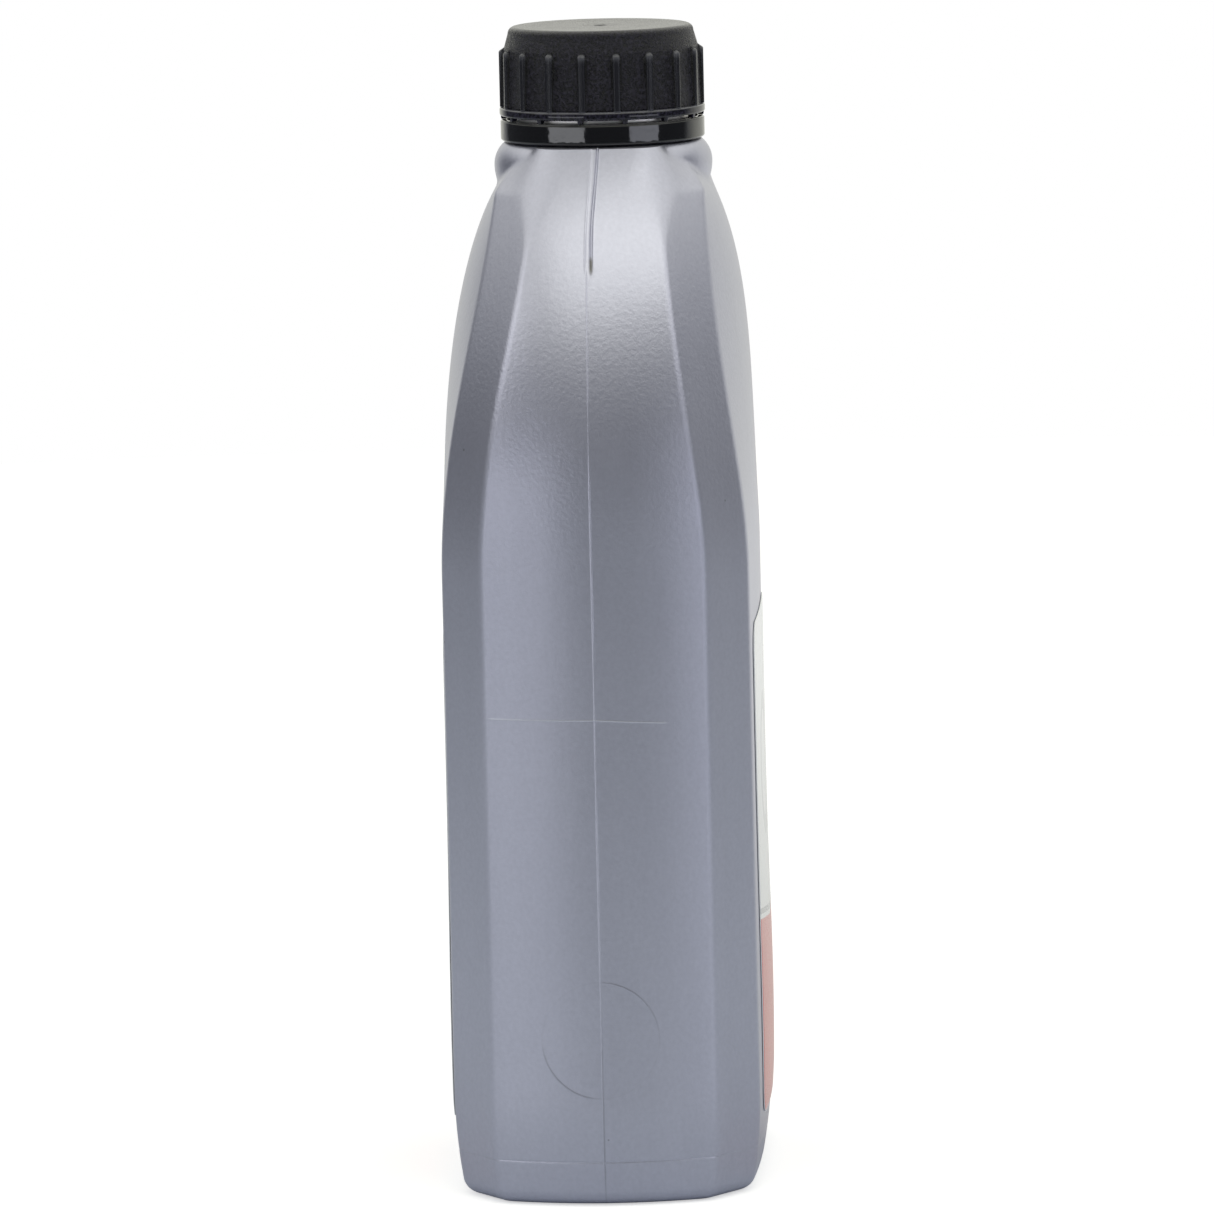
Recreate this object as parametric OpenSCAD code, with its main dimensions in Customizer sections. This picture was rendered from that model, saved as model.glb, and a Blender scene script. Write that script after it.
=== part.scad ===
// Flat one-litre cutting fluid bottle: a blown shell with chamfered narrow sides and arched
// shoulders, a ribbed screw cap over a sealing wad, a tamper band that stays on the neck, and
// a thin printed film on each wide face. Millimetres, +Z up, origin at the middle of the foot.

/* [Body] */
// Width across the two narrow sides
bottle_w = 102; // [94:1:114]
// Depth across the two label faces at the belly
bottle_d = 66; // [60:0.5:76]
// Height of the shoulder's top, where the neck begins
body_h = 214.2; // [196:0.2:236]
// Wall of the blown shell
wall = 1.1; // [0.8:0.1:1.6]
// Height at which the narrow sides begin to lean in to the shoulder
side_start = 130; // [115:1:145]
// How late the shoulder turns in, seen from the front, 2 for a parabola
side_power = 3; // [2.5:0.1:4]
// Width across the shoulder where it reaches the neck
side_neck_w = 46; // [44:0.5:54]
// Height at which the label faces begin to arch in
face_start = 130; // [110:1:150]
// Squareness of the shoulder seen from the side, 2 for an ellipse
face_power = 2.9; // [2.5:0.1:4]
// How far above the shoulder's top the label faces' arch would close
face_close = 2.6; // [1:0.1:4]
// How far the label faces stand proud of the chamfers' outer edges
face_crown = 0.6; // [0.3:0.1:1.5]
// How far the label faces swell at the belly
belly_swell = 0.95; // [0.05:0.05:2]
// Height of the belly's fullest point
belly_z = 35; // [30:1:60]
// Height over which the swell dies away
belly_len = 32; // [25:1:60]

/* [Narrow sides] */
// How far a side panel's middle stands proud of its edges
panel_crown = 5; // [3:0.5:8]
// Height at which a side panel begins to narrow
panel_start = 128; // [110:1:140]
// Width of a side panel where it reaches the neck
panel_neck_w = 25.6; // [20:0.2:30]
// Reach of a chamfer along the depth
chamfer_y = 8.4; // [6:0.2:12]
// Reach of a chamfer along the width
chamfer_x = 11.5; // [8:0.5:14]
// Length of the soft blend on each side of a chamfer's edge
edge_soft = 3; // [1.5:0.5:4]

/* [Base] */
// Radius of the corner between the walls and the foot
base_corner = 3; // [2:0.5:6]
// How far the walls lean in towards the foot
base_lean = 2; // [1:0.2:4]
// Height at which the walls begin to lean in
base_lean_h = 22; // [15:1:40]
// Width of the flat foot ring
foot_w = 5; // [3:0.5:8]
// Depth of the recess inside the foot ring
recess_h = 3; // [1.5:0.5:5]
// Run of the slope that leads up into the recess
recess_run = 4; // [2:0.5:6]

/* [Neck] */
// How far the neck stands off the body's middle, towards the front label
neck_shift = 1.9; // [0:0.1:3]
// Height at which the shoulder begins to sway towards the neck
sway_start = 150; // [130:1:170]
// Radius of the round collar under the closure
collar_r = 22.5; // [22:0.1:24]
// Radius of the collar's rounding above its widest line
collar_round = 5.8; // [5.2:0.1:7]
// Radius of the collar's rounding below its widest line
collar_under = 11; // [9:0.5:14]
// Drop from the collar's top to its widest line
collar_drop = 4.6; // [4:0.1:5]
// Length of the collar below its widest line
collar_len = 7; // [6:0.5:8]
// Wall of the neck
neck_wall = 1.9; // [1.4:0.1:2.4]
// Reach of the ring that keeps the tamper band on the neck
keeper_out = 1.4; // [1:0.1:1.6]
// Height of that ring
keeper_h = 1.5; // [1:0.1:2]
// Bevel at the mouth's outer edge
lip_bevel = 0.5; // [0.2:0.1:0.8]

/* [Cap] */
// Radius of the cap's wall at its skirt
cap_r = 20.4; // [20:0.1:21]
// Height of the cap above the slit
cap_h = 18.2; // [16:0.2:22]
// Wall of the cap
cap_wall = 1.2; // [1:0.1:1.6]
// Thickness of the cap's top
cap_top_t = 1.6; // [1.2:0.1:2.2]
// Draft of the cap's wall from skirt to shoulder
cap_draft = 0.35; // [0.1:0.05:0.6]
// Height of the cap's sloping shoulder
cap_shoulder_h = 4.6; // [3.5:0.1:6]
// Inward run of that shoulder
cap_shoulder_in = 0.9; // [0.4:0.1:1.4]
// Radius of the rounded edge of the cap's top
cap_edge = 1.4; // [0.8:0.1:2]
// Number of grip ribs
rib_count = 18; // [12:1:24]
// Turn of the ribs about the neck when the cap is tight
rib_turn = 11.3; // [0:0.1:20]
// Width of a grip rib
rib_w = 1.5; // [1.2:0.1:2]
// How far the ribs stand out from the skirt's radius
rib_out = 0.7; // [0.6:0.05:0.9]
// Height of the plain bead at the foot of the cap
bead_h = 1.7; // [1.2:0.1:2.4]
// How far that bead stands out from the skirt's radius
bead_out = 0.8; // [0.75:0.05:1.2]
// Room between the cap's bore and the neck, where the thread lies
thread_room = 1.3; // [1:0.1:1.6]
// Thickness of the sealing wad
wad_t = 1.2; // [0.8:0.1:2]
// Gap round the wad's edge
wad_gap = 0.3; // [0.2:0.1:0.6]

/* [Tamper band] */
// Height of the tamper band
band_h = 4.65; // [4.2:0.05:6]
// How far the band stands out from the cap's skirt radius
band_out = 0.65; // [0.5:0.05:1]
// Height of the slit between the band and the cap
slit_h = 0.5; // [0.4:0.05:0.8]
// Clearance of the band round the neck and above the collar
band_gap = 0.35; // [0.3:0.05:0.5]
// Height of the band's inner hook
hook_h = 1.4; // [1:0.1:1.8]
// Gap between the hook and the neck
hook_gap = 0.5; // [0.3:0.1:0.8]
// Height of the ledge at the band's top, twice its depth
ledge = 0.6; // [0.3:0.1:0.9]
// Bevel at the band's lower edge
band_bevel = 0.6; // [0.3:0.1:0.9]
// Number of bridges across the slit
bridge_count = 14; // [8:1:20]
// Turn of the bridges about the neck when the cap is tight
bridge_turn = 15.7; // [0:0.1:30]
// Width of a bridge
bridge_w = 1; // [0.6:0.1:1.6]
// Gap left under each bridge
bridge_gap = 0.05; // [0.05:0.05:0.15]

/* [Labels] */
// Width of a label
label_w = 58; // [40:1:60]
// Height of a label
label_h = 102; // [60:1:110]
// Height of a label's lower edge
label_z = 14.5; // [12:0.5:24]
// Radius of a label's corners
label_round = 6; // [3:0.5:12]
// Thickness of the film
label_t = 0.2; // [0.15:0.05:0.4]
// Thickness of the adhesive under the film
label_glue = 0.1; // [0.08:0.02:0.2]

/* [Hidden] */
$fn = 96;

silver = [0.60, 0.61, 0.64];
black = [0.08, 0.08, 0.09];
foam = [0.93, 0.93, 0.91];
print_front = [0.72, 0.13, 0.12];
print_back = [0.80, 0.80, 0.80];

// Small overlap that makes joined shapes one solid
bite = 0.2;
// Shares of an inset by which a chamfer's inner edge moves in depth and its reach in width shrinks
pull_y = 0.65;
pull_x = 0.45;
// Share of an inset by which the shoulder's slope is lowered, to keep the wall even there
side_lift = 0.5;
// Largest share of a chamfer, a panel or a label face that a soft edge may take up
soft_share = 1 / 3;

// Half widths of a side panel low down and at the neck, from the depth that the chamfers leave
edge_y = bottle_d / 2 - belly_swell - face_crown;
panel_y = edge_y - chamfer_y;
panel_neck_y = panel_neck_w / 2;
face_top = body_h + face_close;

// Heights up the neck and closure, each from the piece below it, the collar just clear of the shoulder
collar_top = body_h + bite / 2;
collar_z = collar_top - collar_drop;
band_z = collar_top + band_gap;
cap_z = band_z + band_h + slit_h;
cap_top = cap_z + cap_h;
lip_z = cap_top - cap_top_t - wad_t;
keeper_z = band_z + hook_h + band_gap;

// Radii of the neck and closure, each from the cap's skirt inwards
cap_bore = cap_r - cap_wall;
neck_r = cap_bore - thread_room;
bore_r = neck_r - neck_wall;
keeper_r = neck_r + keeper_out;
band_bore = keeper_r + band_gap;
band_r = cap_r + band_out;
bead_r = cap_r + bead_out;

// Steps of the blown skin round a quarter and up the walls
panel_steps = 3;
face_steps = 4;
corner_steps = 3;
lean_steps = 4;
wall_steps = 6;
outer_steps = 16;
inner_steps = 10;
label_cols = 8;
label_rows = 16;
arc_steps = 8;

// Cubic ease from 0 to 1
function ease(t) = let (u = min(max(t, 0), 1)) u * u * (3 - 2 * u);

// Share of full size left at height z by a superelliptic arch
function arch(z, start, top, power) =
    z <= start ? 1 : pow(1 - pow((z - start) / (top - start), power), 1 / power);

// How far the walls lean in at height z
function lean(z) = base_lean * pow(max(0, 1 - z / base_lean_h), 2);

// Offset along the depth of the section's middle at height z
function sway(z) = -neck_shift * ease((z - sway_start) / (body_h - sway_start));

// Half depth of the label faces on the centre line, on a skin that lies inset inside the outer one
function face_half(z, inset) =
    (bottle_d / 2 - belly_swell) * arch(z, face_start, face_top - inset, face_power)
    + belly_swell * exp(-pow((z - belly_z) / belly_len, 2)) - inset - lean(z);

// Half width of the narrow sides on the centre line
function side_half(z, inset) = let (
    rise = max(0, z + side_lift * inset - side_start) / (body_h - side_start))
    bottle_w / 2 - (bottle_w - side_neck_w) / 2 * pow(rise, side_power) - inset - lean(z);

// A chamfer's inner edge, where the side panel ends
function panel_edge(z, inset) = let (
    narrowing = ease((z - panel_start) / (body_h - panel_start)),
    y_outer = panel_y + (panel_neck_y - panel_y) * narrowing,
    y = y_outer - pull_y * (inset + lean(z)))
    [side_half(z, inset) - panel_crown * pow(y / panel_y, 2), y];

// A chamfer's outer edge, where the label face begins
function face_edge(z, inset) = let (
    p = panel_edge(z, inset),
    y_full = p.y + chamfer_y - (1 - pull_y) * (inset + lean(z)))
    [p.x - chamfer_x + pull_x * (inset + lean(z)), min(y_full, face_half(z, inset) - face_crown)];

// Depth of a label face at width x and height z
function face_y(x, z, inset) = let (
    e = face_edge(z, inset), b = face_half(z, inset))
    b - (b - e.y) * pow(x / e.x, 2);

// Middle of a soft corner from a, past b, to c
function soften(a, b, c) = (a + 2 * b + c) / 4;

// A quarter of the section, from the narrow side's middle round to the label face's middle
function quarter(z, inset) = let (
    a = side_half(z, inset),
    p = panel_edge(z, inset),
    q = face_edge(z, inset),
    run = norm(q - p),
    along = (q - p) / run,
    soft = min(edge_soft, soft_share * run, soft_share * p.y, soft_share * q.x),
    panel_end = p.y - soft,
    face_end = q.x - soft,
    panel = [for (k = [0:panel_steps]) let (y = panel_end * k / panel_steps)
        [a - (a - p.x) * pow(y / p.y, 2), y]],
    face = [for (k = [face_steps:-1:0]) let (x = face_end * k / face_steps)
        [x, face_y(x, z, inset)]],
    leave = p + soft * along,
    meet = q - soft * along)
    concat(panel, [soften(panel[panel_steps], p, leave), leave, meet, soften(meet, q, face[0])], face);

// The whole section at one height, counter-clockwise, as points in space
function ring(z, inset) = let (
    q = quarter(z, inset), last = len(q) - 1,
    outline = concat(q,
        [for (k = [last - 1:-1:0]) [-q[k].x, q[k].y]],
        [for (k = [1:last]) [-q[k].x, -q[k].y]],
        [for (k = [last - 1:-1:1]) [q[k].x, -q[k].y]]))
    [for (p = outline) [p.x, p.y + sway(z), z]];

// Height and inset of each ring of a skin that lies t inside the outer one, from recess to shoulder
function levels(t, shoulder_steps) = let (corner = base_corner - t) concat(
    [[recess_h + t, base_corner + foot_w + recess_run], [t, base_corner + foot_w]],
    [for (k = [0:corner_steps]) let (turn = 90 - 90 * k / corner_steps)
        [t + corner * (1 - sin(turn)), t + corner * (1 - cos(turn))]],
    [for (k = [1:lean_steps]) [base_corner + (base_lean_h - base_corner) * k / lean_steps, t]],
    [for (k = [1:wall_steps]) [base_lean_h + (side_start - base_lean_h) * k / wall_steps, t]],
    [for (k = [1:shoulder_steps])
        [side_start + (body_h - t - side_start) * sin(90 * k / shoulder_steps), t]]);

// Closed skin through the rings of levels
module skin(t, shoulder_steps) {
    rings = [for (l = levels(t, shoulder_steps)) ring(l[0], l[1])];
    count = len(rings[0]);
    top = len(rings) - 1;
    points = [for (r = rings) each r];
    sides = [for (j = [0:top - 1], i = [0:count - 1])
        let (low = j * count, high = low + count, next = (i + 1) % count)
        each [[low + i, high + next, low + next], [low + i, high + i, high + next]]];
    floor_face = [for (i = [0:count - 1]) i];
    roof_face = [for (i = [count - 1:-1:0]) top * count + i];
    polyhedron(points, concat(sides, [floor_face, roof_face]));
}

// Points on an arc about centre, from one angle to another
function arc(centre, r, from, to) =
    [for (k = [0:arc_steps]) let (turn = from + (to - from) * k / arc_steps)
        centre + r * [cos(turn), sin(turn)]];

// Half section of the collar, t inside its outer face
function collar_section(t) = let (
    r_up = collar_round - t, r_down = collar_under - t,
    lower = arc([collar_r - collar_under, collar_z], r_down, -asin(collar_len / r_down), 0),
    upper = arc([collar_r - collar_round, collar_z], r_up, 0, asin((collar_drop - t) / r_up)))
    concat([[0, collar_z - collar_len]], lower, [for (k = [1:arc_steps]) upper[k]], [[0, collar_top - t]]);

// Moves a shape that is turned about the neck from the middle of the foot to the neck's axis
module on_neck() {
    translate([0, -neck_shift, 0]) children();
}

module bottle() {
    color(silver) difference() {
        union() {
            skin(0, outer_steps);
            on_neck() {
                rotate_extrude() polygon(collar_section(0));
                translate([0, 0, collar_top - bite])
                    cylinder(r = neck_r, h = lip_z - lip_bevel - collar_top + bite);
                translate([0, 0, lip_z - lip_bevel])
                    cylinder(r1 = neck_r, r2 = neck_r - lip_bevel, h = lip_bevel);
                translate([0, 0, keeper_z]) cylinder(r1 = keeper_r, r2 = neck_r, h = keeper_h);
            }
        }
        skin(wall, inner_steps);
        on_neck() {
            rotate_extrude() polygon(collar_section(wall));
            translate([0, 0, collar_z]) cylinder(r = bore_r, h = lip_z - collar_z + bite);
        }
    }
}

module tamper_band() {
    hook_r = neck_r + hook_gap;
    ledge_r = band_r - ledge / 2;
    band_top = band_z + band_h;
    color(black) on_neck() difference() {
        rotate_extrude() polygon([
            [hook_r, band_z], [band_r - band_bevel, band_z], [band_r, band_z + band_bevel],
            [band_r, band_top - ledge], [ledge_r, band_top - ledge], [ledge_r, band_top],
            [hook_r, band_top]]);
        translate([0, 0, band_z + hook_h]) cylinder(r = band_bore, h = band_h);
    }
}

module cap() {
    shoulder_z = cap_top - cap_shoulder_h;
    shoulder_r = cap_r - cap_draft;
    rim_r = shoulder_r - cap_shoulder_in;
    bead_top = cap_z + bead_h;
    bead_bevel = bead_h / 4;
    color(black) on_neck() {
        difference() {
            rotate_extrude() polygon(concat(
                [[0, cap_z], [bead_r - bead_bevel, cap_z], [bead_r, cap_z + bead_bevel],
                    [bead_r, bead_top - bead_bevel], [bead_r - bead_bevel, bead_top],
                    [cap_r, bead_top], [shoulder_r, shoulder_z]],
                arc([rim_r - cap_edge, cap_top - cap_edge], cap_edge, 0, 90),
                [[0, cap_top]]));
            translate([0, 0, cap_z - bite]) cylinder(r = cap_bore, h = cap_h - cap_top_t + bite);
        }
        ribs(shoulder_z, shoulder_r);
        bridges();
    }
}

// Upright round-backed ribs whose upper ends run out on a slope
module ribs(shoulder_z, shoulder_r) {
    rib_r = rib_w / 2;
    rib_z = cap_z + bead_h / 2;
    rib_reach = cap_r + rib_out;
    rib_root = cap_bore + cap_wall / 4;
    slope = rib_reach - shoulder_r + bite;
    difference() {
        intersection() {
            for (k = [0:rib_count - 1]) rotate(rib_turn + k * 360 / rib_count)
                translate([rib_reach - rib_r, 0, rib_z]) cylinder(r = rib_r, h = cap_top - rib_z);
            rotate_extrude() polygon([
                [0, cap_z], [rib_reach + bite, cap_z], [rib_reach + bite, shoulder_z - slope],
                [shoulder_r - bite, shoulder_z + bite], [0, shoulder_z + bite]]);
        }
        translate([0, 0, cap_z - bite]) cylinder(r = rib_root, h = cap_h);
    }
}

// Bridges that tie the cap to the tamper band until it is first opened
module bridges() {
    bridge_deep = band_r - ledge - band_bore;
    for (k = [0:bridge_count - 1]) rotate(bridge_turn + k * 360 / bridge_count)
        translate([band_bore, -bridge_w / 2, cap_z - slit_h + bridge_gap])
            cube([bridge_deep, bridge_w, slit_h - bridge_gap + bite]);
}

module sealing_wad() {
    color(foam) on_neck() translate([0, 0, lip_z]) cylinder(r = cap_bore - wad_gap, h = wad_t);
}

// Half width of a label at a height from its middle, with round corners
function label_half(dz) = let (past = max(0, abs(dz) - (label_h / 2 - label_round)))
    label_w / 2 - label_round + sqrt(max(0, pow(label_round, 2) - pow(past, 2)));

// Film on the label face on the +Y side, or on the other one once it is turned, when side is -1
module label_film(side) {
    middle = label_z + label_h / 2;
    grid = [for (lift = [label_glue, label_glue + label_t], j = [0:label_rows], i = [0:label_cols])
        let (dz = label_h / 2 * sin(180 * j / label_rows - 90),
            x = label_half(dz) * (2 * i / label_cols - 1))
        [x, face_y(x, middle + dz, 0) + lift + side * sway(middle + dz), middle + dz]];
    wide = label_cols + 1;
    back = wide * (label_rows + 1);
    rim = concat([for (i = [0:label_cols - 1]) i], [for (j = [0:label_rows - 1]) j * wide + label_cols],
        [for (i = [label_cols:-1:1]) label_rows * wide + i], [for (j = [label_rows:-1:1]) j * wide]);
    inner = [for (j = [0:label_rows - 1], i = [0:label_cols - 1]) let (p = j * wide + i)
        each [[p, p + wide + 1, p + wide], [p, p + 1, p + wide + 1]]];
    outer = [for (f = inner) [f[2] + back, f[1] + back, f[0] + back]];
    edge = [for (k = [0:len(rim) - 1]) let (p = rim[k], q = rim[(k + 1) % len(rim)])
        each [[p, p + back, q + back], [p, q + back, q]]];
    polyhedron(grid, concat(inner, outer, edge));
}

module front_label() {
    color(print_front) rotate(180) label_film(-1);
}

module back_label() {
    color(print_back) label_film(1);
}

bottle();
tamper_band();
cap();
sealing_wad();
front_label();
back_label();
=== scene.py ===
"""A one-litre cutting fluid bottle in silver blown plastic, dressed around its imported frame."""
import math

import bpy
import numpy as np
from mathutils import Matrix, Vector


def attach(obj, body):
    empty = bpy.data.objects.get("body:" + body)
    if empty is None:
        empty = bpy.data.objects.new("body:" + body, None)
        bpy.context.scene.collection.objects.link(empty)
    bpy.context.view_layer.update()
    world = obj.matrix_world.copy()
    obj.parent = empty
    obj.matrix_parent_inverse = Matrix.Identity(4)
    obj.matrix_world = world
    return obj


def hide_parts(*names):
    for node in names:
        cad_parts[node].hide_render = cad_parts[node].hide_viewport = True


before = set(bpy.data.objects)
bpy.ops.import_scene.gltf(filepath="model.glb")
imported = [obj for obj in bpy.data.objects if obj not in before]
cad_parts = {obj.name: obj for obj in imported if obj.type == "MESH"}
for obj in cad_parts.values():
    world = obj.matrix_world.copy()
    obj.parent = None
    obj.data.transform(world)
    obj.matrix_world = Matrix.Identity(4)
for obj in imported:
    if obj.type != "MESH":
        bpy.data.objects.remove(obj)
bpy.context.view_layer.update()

MM = 0.001

# Sizes in millimetres, as in the part's source apart from the tighter EDGE_SOFT
BOTTLE_W, BOTTLE_D, BODY_H, WALL = 102.0, 66.0, 214.2, 1.1
SIDE_START, SIDE_POWER, SIDE_NECK_W, SIDE_LIFT = 130.0, 3.0, 46.0, 0.5
FACE_START, FACE_POWER, FACE_TOP, FACE_CROWN = 130.0, 2.9, 216.8, 0.6
BELLY_SWELL, BELLY_Z, BELLY_LEN = 0.95, 35.0, 32.0
PANEL_CROWN, PANEL_START, PANEL_NECK_Y = 5.0, 128.0, 12.8
CHAMFER_Y, CHAMFER_X, EDGE_SOFT, PULL_Y, PULL_X = 8.4, 11.5, 1.1, 0.65, 0.45
BASE_CORNER, BASE_LEAN, BASE_LEAN_H, FOOT_W, RECESS_H, RECESS_RUN = 3.0, 2.0, 22.0, 5.0, 3.0, 4.0
NECK_Y, SWAY_START = -1.9, 150.0
COLLAR_R, COLLAR_ROUND, COLLAR_UNDER, COLLAR_Z, COLLAR_LEN, COLLAR_TOP = 22.5, 5.8, 11.0, 209.7, 7.0, 214.3
NECK_R, BORE_R, KEEPER_R, KEEPER_Z, KEEPER_H, LIP_Z = 17.9, 16.0, 19.3, 216.4, 1.5, 235.2
CAP_R, CAP_BORE, CAP_Z, CAP_TOP, CAP_TOP_T = 20.4, 19.2, 219.8, 238.0, 1.6
CAP_DRAFT, CAP_SHOULDER_Z, CAP_SHOULDER_IN, CAP_EDGE = 0.35, 233.4, 0.9, 1.4
RIB_COUNT, RIB_TURN, RIB_W, RIB_OUT, BEAD_R, BEAD_H = 18, 11.3, 1.5, 0.7, 21.2, 1.7
BAND_Z, BAND_TOP, BAND_R, BAND_BORE, BAND_HOOK_R, BAND_HOOK_Z = 214.65, 219.3, 21.05, 19.65, 18.4, 216.05
BRIDGE_COUNT, BRIDGE_TURN, BRIDGE_W, BRIDGE_GAP = 14, 15.7, 1.0, 0.05
LABEL_W, LABEL_H, LABEL_Z, LABEL_ROUND, LABEL_T, LABEL_GLUE = 58.0, 102.0, 14.5, 6.0, 0.2, 0.1
PITCH, SCREW_TURN = 4.0, 2.0 * math.pi
PANEL_Y = BOTTLE_D / 2 - BELLY_SWELL - FACE_CROWN - CHAMFER_Y

# Trim and marks in millimetres, left out or plainer in the part's source; CREASE is a share of PANEL_CROWN
CREASE, EDGE_FADE_Z, EDGE_FADE_H = 0.06, 194.0, 16.0
SEAM_TURN_Z, SEAM_TURN_H, SCAR_Z, SCAR_H = 196.0, 19.0, 190.5, 1.5
BASE_SEAM_Z, WELD_W, WELD_HALF, WELD_DROP = 9.3, 1.2, 31.0, 0.5
RING_LOW, RING_HIGH, RING_OUT, RING_ROUND = 218.8, 219.9, 0.6, 0.5
THREAD_LOW, THREAD_HIGH, THREAD_OUT, THREAD_START = 221.0, 233.6, 0.85, 0.6
GROOVE_LOW, GROOVE_HIGH, GROOVE_OUT = 220.5, 234.4, 0.75
LEDGE_IN, LEDGE_DROP = 0.3, 0.3
SCRATCH_Z, SCRATCH_FALL, SCRATCH_FROM, SCRATCH_TO = 100.5, 0.065, -14.4, 21.8
WITNESS_Y, WITNESS_Z, WITNESS_R = 0.3, 34.5, 12.0

# Print in millimetres: the red field's top at the label's middle and its rise a millimetre, then the motifs
RED_FRONT, RED_BACK, RED_RISE = 52.0, 34.0, 0.12
CIRCLE_Z, CIRCLE_R, CIRCLE_BORE = 84.0, 15.0, 11.0
BLOCK_LOW, BLOCK_HIGH, BLOCK_HALF = 64.0, 104.0, 21.0

# Studio: azimuth and roll of the view in degrees, the photograph's size and focal length in pixels, metres
VIEW, ROLL = 272.83, 1.313
PHOTO_PIXELS, FOCAL_PIXELS, SENSOR_MM = 1214, 9712.63, 36.0
CAMERA_AWAY, CAMERA_UP, TARGET = 2.0, 0.383, (0, -0.00053, 0.1169)
FLOOR_R, FLOOR_DROP = 1.3, 0.0002
# Direction from the bottle to the backdrop that its rims mirror, and how much wider that is on the left
BACK_X, BACK_Y, BACK_LEFT = 0.966, -0.259, 0.09


def ease(t):
    """Cubic step: t squared times (3 - 2 t), held at 0 and 1 outside that range."""
    t = np.clip(t, 0, 1)
    return t * t * (3 - 2 * t)


def hump(d, width):
    """Bell of height 1: e to the power of minus (d / width) squared."""
    return np.exp(-(d / width) ** 2)


def arch(z, start, top, power):
    """Superelliptic arch: (1 - t^power)^(1/power), t running from 0 at start to 1 at top."""
    t = np.clip((z - start) / (top - start), 0, 1)
    return (1 - t ** power) ** (1 / power)


def soft_max(a, b, k):
    """The larger of a and b, with the corner between them filled over a difference of k."""
    return np.maximum(a, b) + np.maximum(k - np.abs(a - b), 0) ** 2 / (4 * k)


def wave(*parts):
    """Sum of sines, each given as (argument, amplitude): unevenness that is the same on every run."""
    return sum(amount * np.sin(argument) for argument, amount in parts)


def lean(z):
    """How far the walls lean in at height z: a parabola that dies out at BASE_LEAN_H."""
    return BASE_LEAN * np.maximum(0, 1 - z / BASE_LEAN_H) ** 2


def sway(z):
    """Depth offset of the section's middle: a cubic step from the body's middle to the neck's axis."""
    return NECK_Y * ease((z - SWAY_START) / (BODY_H - SWAY_START))


def neck_share(z):
    """How far the parting line has gone from the body's middle to the neck's axis: a cubic step."""
    return ease((z - SEAM_TURN_Z) / SEAM_TURN_H)


def seam_y(z):
    """Depth of the parting line: on the body's middle until just below the neck, then over to its axis."""
    return NECK_Y * neck_share(z) + wave((z / 31.0, 0.05), (z / 11.0 + 1, 0.03))


def face_half(z, inset):
    """Half depth at the label face's middle: arch plus belly, less the inset and the lean."""
    wall = (BOTTLE_D / 2 - BELLY_SWELL) * arch(z, FACE_START, FACE_TOP - inset, FACE_POWER)
    return wall + BELLY_SWELL * hump(z - BELLY_Z, BELLY_LEN) - inset - lean(z)


def face_edge(z, inset):
    """Half width of the narrow side, then the chamfer's inner corner and its outer corner."""
    rise = np.maximum(0, z + SIDE_LIFT * inset - SIDE_START) / (BODY_H - SIDE_START)
    side = BOTTLE_W / 2 - (BOTTLE_W - SIDE_NECK_W) / 2 * rise ** SIDE_POWER - inset - lean(z)
    narrowing = ease((z - PANEL_START) / (BODY_H - PANEL_START))
    py = PANEL_Y + (PANEL_NECK_Y - PANEL_Y) * narrowing - PULL_Y * (inset + lean(z))
    px = side - PANEL_CROWN * (py / PANEL_Y) ** 2
    qx = px - CHAMFER_X + PULL_X * (inset + lean(z))
    qy = np.minimum(py + CHAMFER_Y - (1 - PULL_Y) * (inset + lean(z)), face_half(z, inset) - FACE_CROWN)
    return side, px, py, qx, qy


def label_face(x, z, inset=0.0):
    """Depth of a label face at width x and height z: a parabola across, from the middle to the chamfer."""
    *_, qx, qy = face_edge(z, inset)
    middle = face_half(z, inset)
    return middle - (middle - qy) * (x / qx) ** 2


# Places of the grid's columns: millimetres from the parting line, then shares of each stretch
SEAM_COLS = np.array([0, .07, .14, .21, .28, .36, .46, .58, .7, .8, .9, 1, 1.12, 1.3, 1.6, 2.1, 2.9, 4, 5.5])
PANEL_COLS = np.linspace(0, 1, 8)[1:]
SOFT_COLS = np.linspace(0, 1, 9)[1:]
FLAT_COLS = np.linspace(0, 1, 5)[1:-1]
FACE_COLS = np.linspace(1, 0, 20)


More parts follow.
